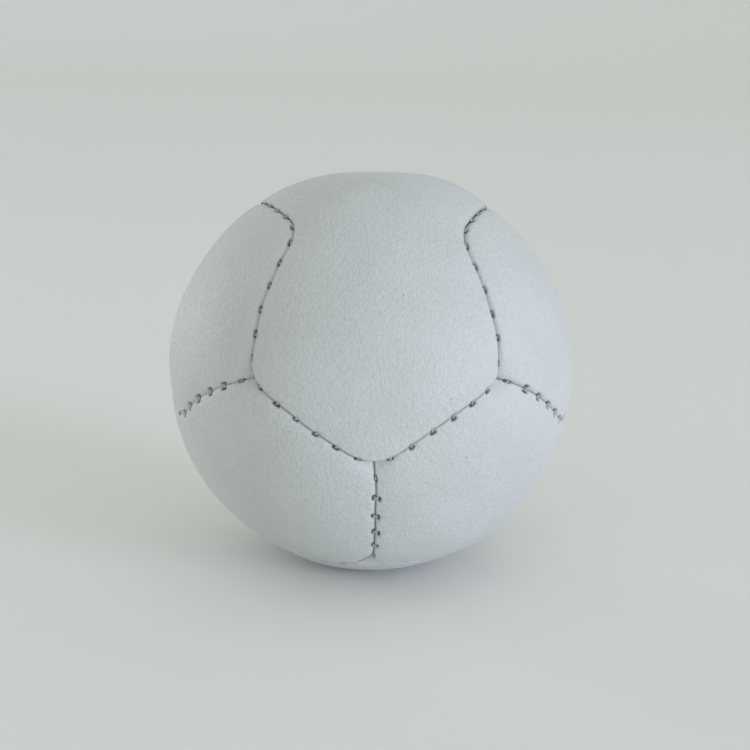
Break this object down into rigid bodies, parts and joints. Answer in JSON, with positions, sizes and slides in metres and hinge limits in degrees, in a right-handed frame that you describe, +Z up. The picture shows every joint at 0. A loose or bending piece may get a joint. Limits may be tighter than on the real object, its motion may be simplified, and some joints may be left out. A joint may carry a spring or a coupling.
{
  "type": "boccia ball",
  "caption": "Soft hand-sewn leather boccia ball: waisted panels with turned-in rolled edges, seams crossed by short thread stitches, and a granule filling.",
  "frame": {"origin": "middle of the flat patch that the ball rests on, at the bottom of its bounding box", "axes": "+Z up through the middle of the ball, -Y to the front, +X to the right as seen from the front"},
  "size_m": [0.086, 0.086, 0.085],
  "materials": {
    "leather": "matt white pebbled leather, slightly soiled",
    "thread": "waxed twisted thread, off-white",
    "granules": "small matt plastic granules, packed"
  },
  "bodies": {
    "root": {"panel_top_front": "leather", "panel_bottom_back": "leather", "panel_left_upper": "leather", "panel_right_upper": "leather", "panel_left_lower": "leather", "panel_right_lower": "leather", "thread_top_front_to_right_upper": "thread", "thread_top_front_to_left_upper": "thread", "thread_bottom_back_to_right_lower": "thread", "thread_bottom_back_to_left_lower": "thread", "thread_left_upper_to_left_lower": "thread", "thread_right_upper_to_right_lower": "thread", "thread_top_front_to_right_lower": "thread", "thread_top_front_to_left_lower": "thread", "thread_bottom_back_to_right_upper": "thread", "thread_bottom_back_to_left_upper": "thread", "thread_left_upper_to_right_upper": "thread", "thread_left_lower_to_right_lower": "thread", "granule_filling": "granules"}
  },
  "joints": []
}
